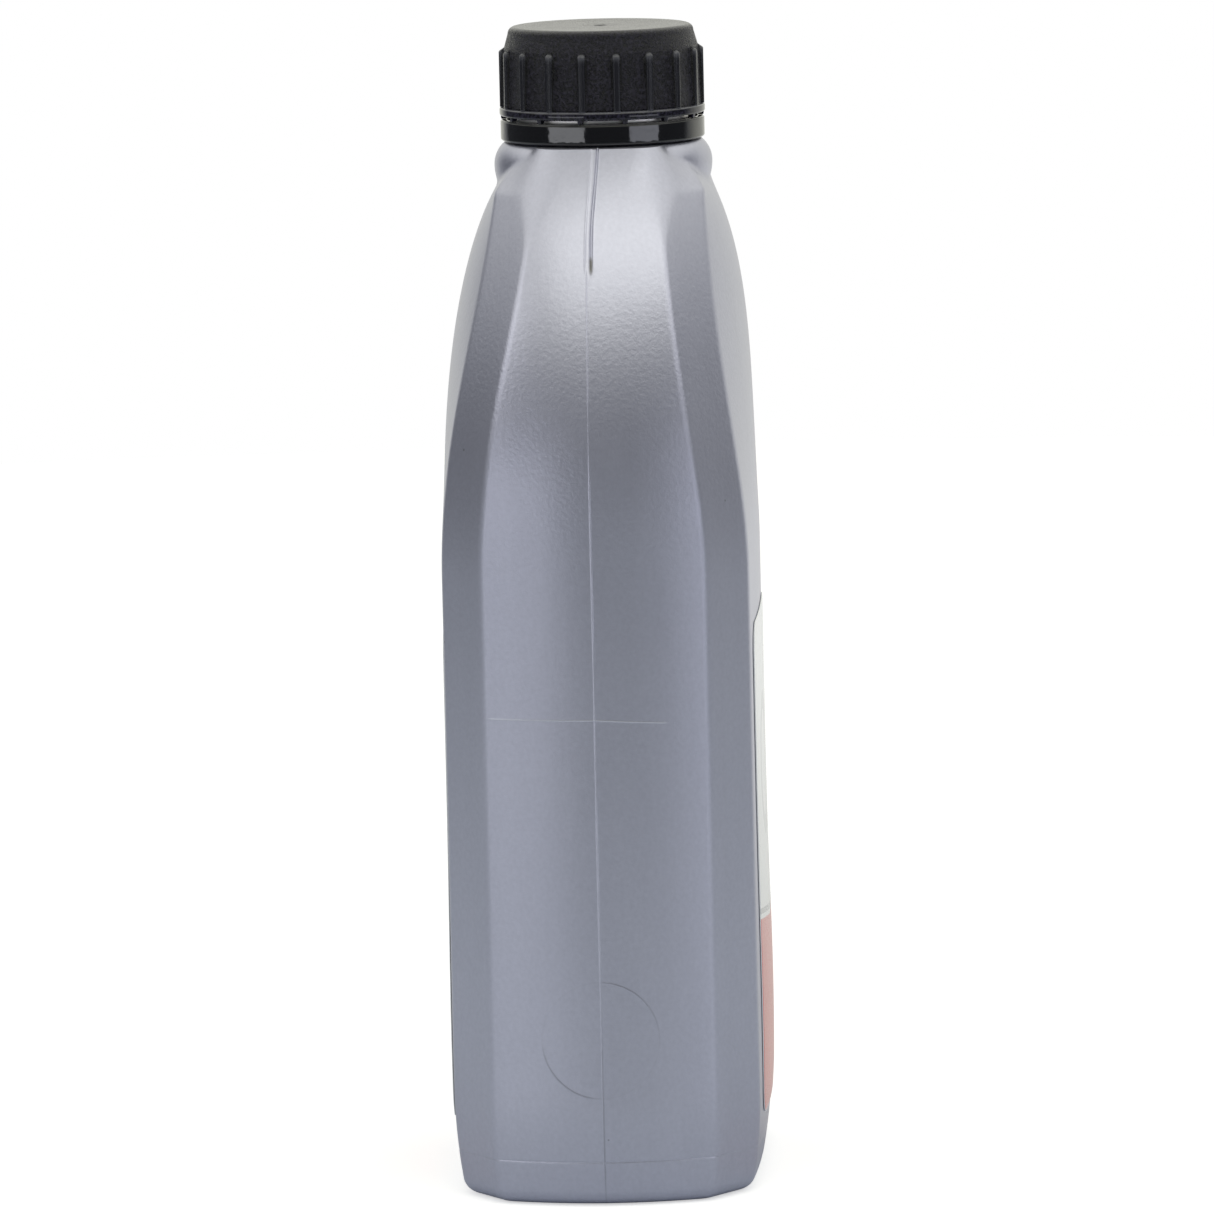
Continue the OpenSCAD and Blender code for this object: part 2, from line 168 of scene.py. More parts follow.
def quarter(z, inset, crease):
    """A quarter of the section at each height, from the narrow side's middle to the label face's:
    parabolic panel with a slight crease at its middle, soft corner, straight chamfer, soft corner,
    parabolic face. A soft corner is a quadratic Bezier curve past the sharp one; the one beside the
    panel widens towards the neck, where the chamfer dies out."""
    z, inset = z[:, None], inset[:, None]
    side, px, py, qx, qy = face_edge(z, inset)
    run = np.hypot(qx - px, qy - py)
    soft = np.minimum(np.minimum(EDGE_SOFT, run / 3), np.minimum(py, qx) / 3)
    fade = ease((z - EDGE_FADE_Z) / EDGE_FADE_H)
    wide = soft + np.maximum(np.minimum(0.45 * run, 0.5 * py) - soft, 0) * fade
    along_x, along_y = (qx - px) / run, (qy - py) / run
    ax, ay = along_x * wide, along_y * wide
    end, last = py - wide, SEAM_COLS[-1]
    y = np.concatenate([SEAM_COLS + 0 * z, last + (end - last) * PANEL_COLS], 1)
    bow = (1 - crease) * (y / py) ** 2 + crease * np.sqrt((y / py) ** 2 + 1e-5)
    x = side - (side - px) * bow
    face_x = (qx - soft) * FACE_COLS
    face_y = label_face(face_x, z, inset)

    def corner(a, b, c):
        """Quadratic Bezier curve from a to c, drawn towards b, its first point left out."""
        t = SOFT_COLS
        return (1 - t) ** 2 * a + 2 * t * (1 - t) * b + t ** 2 * c

    meet_x, meet_y = qx - along_x * soft, qy - along_y * soft
    xs = [x, corner(x[:, -1:], px, px + ax), px + ax + (meet_x - px - ax) * FLAT_COLS,
          meet_x, corner(meet_x, qx, face_x[:, :1]), face_x[:, 1:]]
    ys = [y, corner(y[:, -1:], py, py + ay), py + ay + (meet_y - py - ay) * FLAT_COLS,
          meet_y, corner(meet_y, qy, face_y[:, :1]), face_y[:, 1:]]
    return np.concatenate(xs, 1), np.concatenate(ys, 1), py


def round_whole(x, y):
    """Mirrors quarters into closed sections, counter-clockwise from +X."""
    back = slice(None, None, -1)
    xs = [x, -x[:, back][:, 1:], -x[:, 1:], x[:, back][:, 1:-1]]
    ys = [y, y[:, back][:, 1:], -y[:, 1:], -y[:, back][:, 1:-1]]
    return np.concatenate(xs, 1), np.concatenate(ys, 1)


def collar_r(z, t):
    """Radius of the collar, t inside its outer face: one arc above its widest line and one below."""
    d = z - COLLAR_Z
    up = COLLAR_R - COLLAR_ROUND + np.sqrt(np.maximum((COLLAR_ROUND - t) ** 2 - d ** 2, 0))
    down = COLLAR_R - COLLAR_UNDER + np.sqrt(np.maximum((COLLAR_UNDER - t) ** 2 - d ** 2, 0))
    inside = np.clip((COLLAR_Z - COLLAR_LEN - z) / 2, 0, 1) * 8
    return np.where(d > 0, up, down) - inside


def body_rings(z, inset, t, crease):
    """Sections of the blown skin, swayed towards the neck, with the middle of each side panel drawn
    to the parting line, then pushed out from the neck's axis to the collar where that stands proud."""
    x, y, py = quarter(z, inset, crease)
    x, y = round_whole(x, y)
    local = y
    z = z[:, None]
    pull = np.clip(1 - (y / py) ** 2, 0, 1)
    y = y + sway(z) + (seam_y(z) - sway(z)) * pull
    r = np.hypot(x, y - NECK_Y)
    grow = np.where(z > COLLAR_Z - COLLAR_LEN - 2, soft_max(r, collar_r(z, t), 0.9) / r, 1)
    return np.stack([x * grow, NECK_Y + (y - NECK_Y) * grow, z + 0 * x], 2), local


def turned(r, z, angle):
    """Rings turned about the neck's axis: radius and height for each row, angle for each column."""
    r = r + 0 * angle
    return np.stack([r * np.cos(angle), NECK_Y + r * np.sin(angle), z + 0 * r], 2)


def outward(grid):
    """Unit normals of a grid that is closed round its columns: cross product of its two differences."""
    round_ = np.roll(grid, -1, 1) - np.roll(grid, 1, 1)
    up = np.gradient(grid, axis=0)
    n = np.cross(round_, up)
    return n / np.maximum(np.linalg.norm(n, axis=2, keepdims=True), 1e-9)


def put_mesh(name, points, faces, material, body):
    """Makes a smooth mesh object from points in millimetres and lists of faces, riding on a body."""
    mesh = bpy.data.meshes.new(name)
    mesh.from_pydata((points * MM).tolist(), [], faces)
    mesh.polygons.foreach_set("use_smooth", np.ones(len(mesh.polygons), bool))
    mesh.materials.append(material)
    mesh.update()
    piece = bpy.data.objects.new(name, mesh)
    bpy.context.scene.collection.objects.link(piece)
    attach(piece, body)
    return piece


def grid_faces(rows, cols):
    """Quads of a grid that is closed round its columns."""
    index = np.arange(rows * cols).reshape(rows, cols)
    right = np.roll(index, -1, 1)
    quads = np.stack([index[:-1], right[:-1], right[1:], index[1:]], 2)
    return quads.reshape(-1, 4).tolist()


def round_piece(name, grid, material, body, poles):
    """Closed piece from a grid round its columns: its ends meet in two poles, or each other if none."""
    rows, cols = grid.shape[:2]
    points = grid.reshape(-1, 3)
    faces = grid_faces(rows, cols)
    low = np.arange(cols)
    high = (rows - 1) * cols + low
    if poles is None:
        faces += np.stack([high, np.roll(high, -1), np.roll(low, -1), low], 1).tolist()
    else:
        points = np.concatenate([points, np.array(poles, float)])
        start, end = len(points) - 2 + 0 * low, len(points) - 1 + 0 * low
        faces += np.stack([start, np.roll(low, -1), low], 1).tolist()
        faces += np.stack([high, np.roll(high, -1), end], 1).tolist()
    return put_mesh(name, points, faces, material, body)


def profile(*stretches):
    """Chains stretches of (radius, height) points, each an array with two columns."""
    return np.concatenate([np.atleast_2d(np.array(s, float)) for s in stretches])


def bend(cx, cz, r, start, stop, steps):
    """Arc of a profile about (cx, cz) between two angles in degrees."""
    a = np.radians(np.linspace(start, stop, steps + 1))
    return np.stack([cx + r * np.cos(a), cz + r * np.sin(a)], 1)


def line(a, b, steps):
    """Straight stretch of a profile, its first point left out."""
    t = np.linspace(0, 1, steps + 1)[1:, None]
    return np.array(a) * (1 - t) + np.array(b) * t


def helix(angle, z, low, high, start_angle):
    """Thread form, 0 to 1: how far z lies from a helix of the given pitch, with ends that run out."""
    turn = (angle - start_angle) / SCREW_TURN
    phase = (z - low) / PITCH - turn
    off = (phase - np.floor(phase) - 0.5) * PITCH
    crest = ease((0.95 - np.abs(off)) / 0.75)
    centre = z - off
    return crest * ease((centre - low) / 1.6) * ease((high - centre) / 1.6)


class Wire:
    """A shader socket: arithmetic on it adds Math nodes, also where the number comes first."""

    def __init__(self, finish, socket):
        self.finish, self.socket = finish, socket

    def math(self, operation, *others):
        """Math node on this socket and then the others."""
        return self.finish.add("ShaderNodeMath", {"operation": operation}, self, *others)

    def behind(self, operation, first):
        """Math node on a number and then this socket."""
        return self.finish.add("ShaderNodeMath", {"operation": operation}, first, self)

    def __add__(self, other):
        return self.math("ADD", other)

    __radd__ = __add__

    def __sub__(self, other):
        return self.math("SUBTRACT", other)

    def __rsub__(self, other):
        return self.behind("SUBTRACT", other)

    def __mul__(self, other):
        return self.math("MULTIPLY", other)

    __rmul__ = __mul__

    def __truediv__(self, other):
        return self.math("DIVIDE", other)

    def __rtruediv__(self, other):
        return self.behind("DIVIDE", other)

    def __pow__(self, other):
        return self.math("POWER", other)

    def __abs__(self):
        return self.math("ABSOLUTE")

    def least(self, other):
        return self.math("MINIMUM", other)

    def most(self, other):
        return self.math("MAXIMUM", other)

    def step(self, start, stop):
        """Smooth step from 0 at start to 1 at stop, in either order."""
        return self.finish.add("ShaderNodeMapRange", {"interpolation_type": "SMOOTHSTEP"},
                               Value=self, **{"From Min": start, "From Max": stop})

    def within(self, low, high, soft):
        """1 between low and high, 0 outside, with edges as wide as soft."""
        return self.step(low - soft, low + soft) * self.step(high + soft, high - soft)

    def bell(self, centre, width):
        """Bell curve about centre."""
        d = (self - centre) / width
        return (d * d * -1.0).math("EXPONENT")


class Finish:
    """A material or world under construction."""

    def __init__(self, owner):
        owner.use_nodes = True
        self.owner, self.tree = owner, owner.node_tree
        self.tree.nodes.clear()

    def add(self, kind, settings=None, *inputs, out=0, **named):
        """Adds a node: its settings first, then its sockets by place or by name. Gives the output named
        by out, or a list of them if out is a tuple, or the node itself if it has none."""
        node = self.tree.nodes.new(kind)
        for key, value in (settings or {}).items():
            setattr(node, key, value)
        for key, value in list(enumerate(inputs)) + list(named.items()):
            if isinstance(value, Wire):
                self.tree.links.new(value.socket, node.inputs[key])
            elif value is not None:
                node.inputs[key].default_value = value
        if isinstance(out, tuple):
            return [Wire(self, node.outputs[key]) for key in out]
        return Wire(self, node.outputs[out]) if node.outputs else node

    def place(self):
        """Object coordinates in millimetres, and x, y and z apart."""
        raw = self.add("ShaderNodeTexCoord", out="Object")
        point = self.add("ShaderNodeVectorMath", {"operation": "SCALE"}, raw, Scale=1 / MM)
        return [point] + self.add("ShaderNodeSeparateXYZ", None, point, out=(0, 1, 2))

    def rays(self):
        """1 for rays from the camera and 0 for others, then the same for mirrored or refracted rays."""
        kinds = ("Is Camera Ray", "Is Glossy Ray", "Is Transmission Ray")
        seen, glossy, clear = self.add("ShaderNodeLightPath", out=kinds)
        return seen, glossy.most(clear)

    def noise(self, point, scale, detail=2.0, rough=0.5, stretch=None):
        """Fractal noise, 0 to 1, with scale in waves a millimetre, stretched by a vector if given."""
        if stretch:
            point = self.add("ShaderNodeVectorMath", {"operation": "MULTIPLY"}, point, stretch)
        return self.add("ShaderNodeTexNoise", None, Vector=point, Scale=scale, Detail=detail,
                        Roughness=rough)

    def blend(self, factor, a, b):
        """Colour a where factor is 0, colour b where it is 1."""
        skip = [None] * 5
        return self.add("ShaderNodeMix", {"data_type": "RGBA"}, factor, *skip, a, b, out=2)

    def bump(self, height, distance):
        """Normal from a height of 0 to 1 that stands for a distance in millimetres."""
        return self.add("ShaderNodeBump", None, Height=height, Distance=distance * MM, Strength=1.0)

    def surface(self, **sockets):
        """Ends the material in a Principled shader."""
        shader = self.add("ShaderNodeBsdfPrincipled", None, **sockets)
        self.add("ShaderNodeOutputMaterial", None, shader)
        return self.owner


def rgb(r, g, b):
    """Colour with full alpha."""
    return (r, g, b, 1.0)


def silver_plastic():
    """Blown plastic with fine metal pigment: noise drawn out along the height for clouds and streaks,
    finer noise for mottle and orange peel, strongest on the shoulder. The marks of the mould and of
    handling on the narrow side at -X are bells about their own lines. The parting line is paler
    between 45 and 170 mm, a painted highlight on its ridge, and darker near the base; the band round
    the neck's small ring is painted near white, a painted highlight."""
    f = Finish(bpy.data.materials.new("silver_plastic"))
    point, x, y, z = f.place()
    cloud = f.noise(point, 0.035, 3.0, 0.55, (1.0, 1.0, 0.45))
    streak = f.noise(point, 0.16, 4.0, 0.6, (1.0, 1.0, 0.05))
    peel = f.noise(point, 1.15, 2.0, 0.5)
    tone = 0.5 + (cloud - 0.5) * 0.5 + (streak - 0.5) * 0.35 + (peel - 0.5) * 0.8
    colour = f.blend(tone, rgb(0.43, 0.435, 0.515), rgb(0.532, 0.537, 0.628))
    here = x.step(-15.0, -25.0)
    scratched = y.within(SCRATCH_FROM, SCRATCH_TO, 0.8) * here
    hairline = (z - SCRATCH_Z - y.least(0.0) * SCRATCH_FALL).bell(0.0, 0.13) * scratched
    ring = ((y - WITNESS_Y) ** 2.0 + (z - WITNESS_Z) ** 2.0) ** 0.5
    arcs = ((WITNESS_Y - y) * (z - WITNESS_Z)).step(-10.0, 60.0)
    witness = ring.bell(WITNESS_R, 0.16) * (0.18 + arcs * 0.82) * here
    parting = y.bell(0.0, 0.16) * abs(x).step(30.0, 40.0)
    # Painted highlight: the parting line's ridge is painted pale between 45 and 170 mm
    parting_painted_highlight = parting * z.within(45.0, 170.0, 10.0)
    dark_line = parting * z.within(2.0, 34.0, 8.0)
    burnt = y.bell(-0.8, 0.35) * z.within(SCAR_Z + 0.1, SCAR_Z + 2.9, 0.7) * here
    cells = f.add("ShaderNodeTexVoronoi", None, Vector=point, Scale=1 / 12.0)
    speck = cells.step(0.030, 0.020)
    # Pale colour: the scratch's own mark plus the painted highlight on the parting line
    light = (hairline * 0.5 + parting_painted_highlight * 0.12).least(1.0)
    dark = (dark_line * 0.45 + witness * 0.30 + speck * 0.55).least(1.0)
    # Painted highlight: the band round the neck's small ring is painted near white
    neck_ring_painted_highlight = z.within(RING_LOW - 0.6, RING_HIGH + 0.7, 0.1)
    # Pale scratch, and the painted highlight on the parting line
    colour = f.blend(light, colour, rgb(0.72, 0.73, 0.78))
    colour = f.blend(dark, colour, rgb(0.16, 0.16, 0.18))
    colour = f.blend(burnt * 0.8, colour, rgb(0.16, 0.15, 0.10))
    # Painted highlight on the neck's small ring
    colour = f.blend(neck_ring_painted_highlight, colour, rgb(0.86, 0.84, 0.82))
    grain = f.noise(point, 3.2, 2.0, 0.6)
    rough = 0.34 + (cloud - 0.5) * 0.08 + (grain - 0.5) * 0.06 + burnt * 0.2
    shoulder = z.within(140.0, 185.0, 18.0)
    height = peel * (0.36 + 0.44 * shoulder) + grain * 0.12 + hairline * 0.5 + witness * 0.5
    return f.surface(**{"Base Color": colour, "Metallic": 0.8, "Roughness": rough,
                        "Normal": f.bump(height, 0.07)})


def cap_plastic():
    """Black moulded plastic: spark-eroded grain on the wall, smoother ribs, bead and top, painted shade
    on the ribs' flanks, and painted highlights along the bead's top edge and on the rib tips. A place
    counts as a rib by its radius, taken from that of the drafted wall."""
    f = Finish(bpy.data.materials.new("cap_plastic"))
    point, x, y, z = f.place()
    grain = f.noise(point, 2.2, 4.0, 0.65)
    wide = f.noise(point, 0.25, 2.0, 0.5)
    pits = f.noise(point, 1.5, 4.0, 0.7).step(0.36, 0.64)
    colour = f.blend(pits, rgb(0.001, 0.001, 0.002), rgb(0.023, 0.021, 0.035))
    radius = (x * x + (y - NECK_Y) ** 2.0) ** 0.5
    edge = CAP_Z + BEAD_H
    proud = radius - CAP_R + (z - edge) * (CAP_DRAFT / (CAP_SHOULDER_Z - edge))
    wall = z.step(edge + 0.05, edge + 0.35) * z.step(CAP_TOP - 0.1, CAP_TOP - 0.9)
    back = wall * proud.step(0.3, 0.55)
    # Painted shade: the ribs' flanks are painted near black
    painted_shade_flank = wall * proud.within(0.12, 0.42, 0.06)
    grainy = wall - back
    bead = z.step(edge + 0.1, edge)
    # Painted highlights: a pale line along the bead's top edge and pale rib tips
    painted_highlight = z.bell(edge - 0.06, 0.16) * proud.step(0.1, 0.4) * 0.9
    painted_highlight = painted_highlight + z.bell(CAP_SHOULDER_Z - 0.5, 0.8) * proud.step(0.1, 0.4) * 0.45
    colour = f.blend(back, colour, rgb(0.010, 0.010, 0.014))
    colour = f.blend(painted_shade_flank, colour, rgb(0.001, 0.001, 0.002))
    # Painted highlights on the bead's edge and the rib tips
    colour = f.blend(painted_highlight * (0.3 + wide * 0.9), colour, rgb(0.20, 0.20, 0.22))
    rough = 0.21 + grainy * (0.02 + pits * 0.26) - bead * 0.15 + (wide - 0.5) * 0.06
    height = (grain + pits * 0.5) * (0.05 - 0.05 * bead + 0.95 * grainy)
    return f.surface(**{"Base Color": colour, "Roughness": rough, "Specular IOR Level": 0.4,
                        "Normal": f.bump(height, 0.50)})


def band_plastic():
    """Black moulded plastic with a polished face that is slightly uneven."""
    f = Finish(bpy.data.materials.new("band_plastic"))
    point = f.place()[0]
    wide = f.noise(point, 0.3, 2.0, 0.5)
    dust = f.noise(point, 6.0, 2.0, 0.6).step(0.66, 0.74)
    colour = f.blend(dust, rgb(0.003, 0.003, 0.004), rgb(0.010, 0.010, 0.011))
    rough = 0.05 + wide * 0.06 + dust * 0.2
    return f.surface(**{"Base Color": colour, "Roughness": rough, "Specular IOR Level": 0.8,
                        "Normal": f.bump(wide, 0.06)})


def wad_foam():
    """Pale foam disc with fine cells."""
    f = Finish(bpy.data.materials.new("wad_foam"))
    point = f.place()[0]
    cells = f.add("ShaderNodeTexVoronoi", None, Vector=point, Scale=2.2)
    colour = f.blend(cells, rgb(0.86, 0.86, 0.83), rgb(0.74, 0.74, 0.70))
    return f.surface(**{"Base Color": colour, "Roughness": 0.7, "Normal": f.bump(cells, 0.05)})


def print_film(name, front):
    """Printed film in plain fields: red below a line that rises with the distance from the middle, a grey
    line above it, a ring or a block, and a pale border, found by the distance to a rounded rectangle."""
    f = Finish(bpy.data.materials.new(name))
    point, x, _, z = f.place()
    pale, grey, red = rgb(0.80, 0.81, 0.82), rgb(0.42, 0.43, 0.45), rgb(0.62, 0.045, 0.04)
    fibre = f.noise(point, 1.6, 3.0, 0.55)
    slope = (RED_FRONT if front else RED_BACK) + abs(x) * RED_RISE
    colour = f.blend((z - slope).step(0.15, -0.15), pale, red)
    colour = f.blend((z - slope - 1.6).within(-0.6, 0.6, 0.1), colour, grey)
    over_x = abs(x) - (LABEL_W / 2 - LABEL_ROUND)
    over_z = abs(z - LABEL_Z - LABEL_H / 2) - (LABEL_H / 2 - LABEL_ROUND)
    outside = (over_x.most(0.0) ** 2.0 + over_z.most(0.0) ** 2.0) ** 0.5
    border = outside + over_x.most(over_z).least(0.0) - LABEL_ROUND
    colour = f.blend(border.step(-0.3, -0.2), colour, pale)
    if front:
        ring = (x * x + (z - CIRCLE_Z) * (z - CIRCLE_Z)) ** 0.5
        colour = f.blend(ring.step(CIRCLE_R + 0.15, CIRCLE_R - 0.15), colour, rgb(0.62, 0.63, 0.65))
        colour = f.blend(ring.step(CIRCLE_BORE + 0.15, CIRCLE_BORE - 0.15), colour, pale)
    else:
        block = z.within(BLOCK_LOW, BLOCK_HIGH, 0.15) * abs(x).step(BLOCK_HALF + 0.1, BLOCK_HALF - 0.1)
        colour = f.blend(block, colour, rgb(0.70, 0.71, 0.72))
    rough = 0.13 + fibre * 0.08
    return f.surface(**{"Base Color": colour, "Roughness": rough, "Normal": f.bump(fibre, 0.012)})


silver, black, gloss = silver_plastic(), cap_plastic(), band_plastic()


def bottle_heights():
    """Heights and insets of the skin's rings from the recess to the shoulder's top, outside."""
    slope = np.linspace(0, 1, 9)
    recess = np.stack([RECESS_H * (1 - ease(slope)), BASE_CORNER + FOOT_W + RECESS_RUN * (1 - slope)], 1)
    foot = np.stack([np.zeros(3), BASE_CORNER + FOOT_W * np.array([0.6, 0.25, 0.05])], 1)
    turn = np.radians(np.linspace(90, 0, 11))
    corner = np.stack([BASE_CORNER * (1 - np.sin(turn)), BASE_CORNER * (1 - np.cos(turn))], 1)
    seam = BASE_SEAM_Z + np.linspace(-0.7, 0.7, 13)
    leaning = np.concatenate([np.linspace(3.4, 8.4, 9), seam, np.linspace(10.5, 22, 12)])
    straight = np.linspace(24, SIDE_START, 44)
    rise = SIDE_START + (BODY_H - SIDE_START) * np.sin(np.radians(np.linspace(0, 90, 96)[1:]))
    plain = np.concatenate([leaning, straight, rise])
    walls = np.stack([plain, 0 * plain], 1)
    return np.concatenate([recess, foot, corner, walls])


def base_floor(edge):
    """Recess of the base inside its edge ring: scaled copies of the ring, with a low weld line across."""
    shrink = np.linspace(0.08, 0.97, 12)[:, None, None]
    floor = edge * np.array([1, 1, 0]) * shrink + np.array([0, 0, RECESS_H])
    weld = hump(floor[:, :, 1], WELD_W) * ease((WELD_HALF - np.abs(floor[:, :, 0])) / 3)
    floor[:, :, 2] -= WELD_DROP * weld
    return floor


def mould_marks(outer, local):
    """Height of the mould's marks on the skin: a fine uneven ridge on the parting line, which gives way
    to a wavy flash with a cut beside it on the pinched shoulder, and a groove and a step at the base."""
    x, z = outer[:, :, 0], outer[:, :, 2]
    near = np.abs(local)
    side = np.sign(x) * local
    drift = neck_share(z)
    ridge = 0.09 * hump(near, 0.16) * ease((z - 3) / 6) * (1 + wave((z / 9.0, 0.3), (z / 3.7, 0.2)))
    flash = 0.55 * hump(side - 0.85 + 0.8 * drift, 0.22) * (1 + wave((z * 0.9, 0.12), (z * 2.3, 0.06)))
    cut = 0.14 * hump(side + 0.4 + 0.9 * drift, 0.16) - 0.10 * hump(side - 0.2 + 0.8 * drift, 0.4)
    scar = ease((z - SCAR_Z) / SCAR_H)
    parting = np.where((np.abs(x) > 12) & (near < 5.4), ridge * (1 - scar) + scar * (flash + cut), 0)
    step = 0.03 * ease((BASE_SEAM_Z - z) / 0.5) * (z < BASE_SEAM_Z + 0.1)
    joint = step - 0.05 * hump(z - BASE_SEAM_Z, 0.16)
    return parting + np.where(z > 2.5, joint, 0)


def neck_rings(angle):
    """Rings up the neck and down its bore: fillet, keeper ring, small ring, threaded wall, lip, bore."""
    ring_r = NECK_R + RING_OUT
    stem = profile(
        bend(NECK_R + 0.5, COLLAR_TOP + 0.5, 0.5, 270, 180, 4)[1:],
        [[NECK_R, KEEPER_Z], [NECK_R + 0.2, KEEPER_Z - 0.01], [KEEPER_R - 0.2, KEEPER_Z]],
        bend(KEEPER_R - 0.2, KEEPER_Z + 0.2, 0.2, 300, 400, 4),
        [[NECK_R + 0.2, KEEPER_Z + KEEPER_H - 0.15], [NECK_R, KEEPER_Z + KEEPER_H]],
        bend(ring_r, RING_LOW, RING_ROUND, 270, 340, 3),
        bend(ring_r, RING_HIGH, RING_ROUND, 10, 90, 4),
        [[NECK_R, THREAD_LOW - 0.5]])
    tall = np.linspace(THREAD_LOW - 0.3, LIP_Z - 0.9, 56)[:, None]
    thread = THREAD_OUT * helix(angle[None], tall, THREAD_LOW, THREAD_HIGH, THREAD_START)
    lip = profile(
        bend(NECK_R - 0.5, LIP_Z - 0.5, 0.5, 0, 90, 5), [[(NECK_R + BORE_R) / 2, LIP_Z]],
        bend(BORE_R + 0.3, LIP_Z - 0.3, 0.3, 90, 180, 4),
        line((BORE_R, LIP_Z - 0.3), (BORE_R, COLLAR_TOP - 0.6), 8))
    return np.concatenate([turned(stem[:, :1], stem[:, 1:], angle), turned(NECK_R + thread, tall, angle),
                           turned(lip[:, :1], lip[:, 1:], angle)])


def inner_skin():
    """Rings of the inner skin from the shoulder's top down to its floor, one wall inside the outer skin."""
    rise = SIDE_START + (BODY_H - WALL - SIDE_START) * np.sin(np.radians(np.linspace(89, 0, 24)))
    fall = np.concatenate([rise, np.linspace(SIDE_START, 8, 16)[1:]])
    turn = np.radians(np.linspace(0, 90, 5))
    corner = BASE_CORNER - WALL
    low_z = np.concatenate([fall, WALL + corner * (1 - np.sin(turn)) + 0.01, [WALL, RECESS_H + WALL]])
    low_in = np.concatenate([0 * fall + WALL, WALL + corner * (1 - np.cos(turn)),
                             [BASE_CORNER + FOOT_W, BASE_CORNER + FOOT_W + RECESS_RUN]])
    return body_rings(low_z, low_in, WALL, CREASE)[0]


def blown_bottle():
    """The whole shell as one grid: out from the middle of the base, up the walls, over the shoulder
    and collar, up the threaded neck, over the lip, down the bore and the inner skin to its floor."""
    levels = bottle_heights()
    outer, local = body_rings(levels[:, 0], levels[:, 1], 0.0, CREASE)
    floor = base_floor(outer[:1])
    outer = outer + outward(outer) * mould_marks(outer, local)[:, :, None]

    top_x, top_y = outer[-1, :, 0], outer[-1, :, 1] - NECK_Y
    angle = np.unwrap(np.arctan2(top_y, top_x))
    share = np.linspace(1, 0, 6)[1:, None]
    roof_r = NECK_R + 0.5 + (np.hypot(top_x, top_y) - NECK_R - 0.5) * share
    roof = turned(roof_r, COLLAR_TOP - 0.1 * share, angle)

    grid = np.concatenate([floor, outer, roof, neck_rings(angle), inner_skin()])
    piece = round_piece("bottle_shell", grid, silver, "bottle",
                        [[0, 0, RECESS_H - WELD_DROP], [0, 0, RECESS_H + WALL]])
    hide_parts("bottle")


def screw_cap():
    """The cap as one grid: out over the inner top, down the threaded bore, round the bead, up the
    ribbed wall, over the rim to the gate mark in the middle. A rib's section is a superellipse of power
    4 across, filled at its foot, and the rib sinks into the wall above the cap's shoulder."""
    spread = np.array([-10, -7.5, -5, -3.6, -2.9, -2.45, -2.2, -2.0, -1.8, -1.5, -1.0, -0.5,
                       0, 0.5, 1.0, 1.5, 1.8, 2.0, 2.2, 2.45, 2.9, 3.6, 5, 7.5])
    ribs = RIB_TURN + np.arange(RIB_COUNT) * 360 / RIB_COUNT
    angle = np.radians((ribs[:, None] + spread[None]).ravel())
    across = np.tile(spread, RIB_COUNT)[None] * math.pi / 180 * CAP_R

    ceiling = CAP_TOP - CAP_TOP_T
    bore = line((CAP_BORE, ceiling), (CAP_BORE, CAP_Z + 0.3), 60)
    inside = profile([[2, ceiling], [10, ceiling], [CAP_BORE - 0.2, ceiling], [CAP_BORE, ceiling]])
    bead = profile(
        bend(CAP_BORE + 0.3, CAP_Z + 0.3, 0.3, 180, 270, 4),
        bend(BEAD_R - 0.45, CAP_Z + 0.45, 0.45, 270, 360, 6),
        bend(BEAD_R - 0.5, CAP_Z + BEAD_H - 0.5, 0.5, 0, 80, 6),
        [[CAP_R + 0.12, CAP_Z + BEAD_H + 0.02], [CAP_R + 0.03, CAP_Z + BEAD_H + 0.12]])
    shoulder_r = CAP_R - CAP_DRAFT
    wall_low = CAP_Z + BEAD_H + 0.3
    wall = line((CAP_R, wall_low - 0.01), (shoulder_r, CAP_SHOULDER_Z), 40)
    rim_r = shoulder_r - CAP_SHOULDER_IN
    crown = profile(
        line((shoulder_r, CAP_SHOULDER_Z), (rim_r, CAP_TOP - CAP_EDGE), 10),
        bend(rim_r - CAP_EDGE, CAP_TOP - CAP_EDGE, CAP_EDGE, 4, 90, 10))
    radii = np.array([17, 15, 13, 11, 9, 7.5, 6, 5, 4, 3.2, 2.6, 2.1, 1.7, 1.4, 1.15, 0.95, 0.7, 0.4])
    dish = 0.12 * ease((17.2 - radii) / 6)
    gate = 0.25 * ease((1.5 - radii) / 0.6) + 0.06 * hump(radii - 3, 1)
    top = np.stack([radii, CAP_TOP - dish - gate], 1)

    rows = profile(inside, bore, bead, wall, crown, top)
    r, z = rows[:, :1], rows[:, 1:]
    row = np.arange(len(rows))[:, None]
    is_bore = (row >= len(inside)) & (row < len(inside) + len(bore))
    groove = GROOVE_OUT * helix(angle[None], z, GROOVE_LOW, GROOVE_HIGH, THREAD_START + math.pi)
    r = r - np.where(is_bore, groove, 0)
    outside = row >= len(inside) + len(bore) + len(bead) - 2
    reach = CAP_R + RIB_OUT
    half = RIB_W / 2
    back = reach - half + half * np.maximum(1 - (across / half) ** 4, 0) ** 0.25
    end = CAP_SHOULDER_Z + 0.35 - (across / half) ** 2 * 0.25
    back = back - 1.5 * ease((z - end + 0.9) / 1.2)
    standing = outside & (z < CAP_SHOULDER_Z + 1.2) & (np.abs(across) < half + 0.35)
    r = np.where(standing, soft_max(r + 0 * across, back, 0.18), r)
    grid = turned(r, z, angle)
    piece = round_piece("screw_cap", grid, black, "cap",
                        [[0, NECK_Y, ceiling], [0, NECK_Y, CAP_TOP - 0.42]])
    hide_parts("cap")


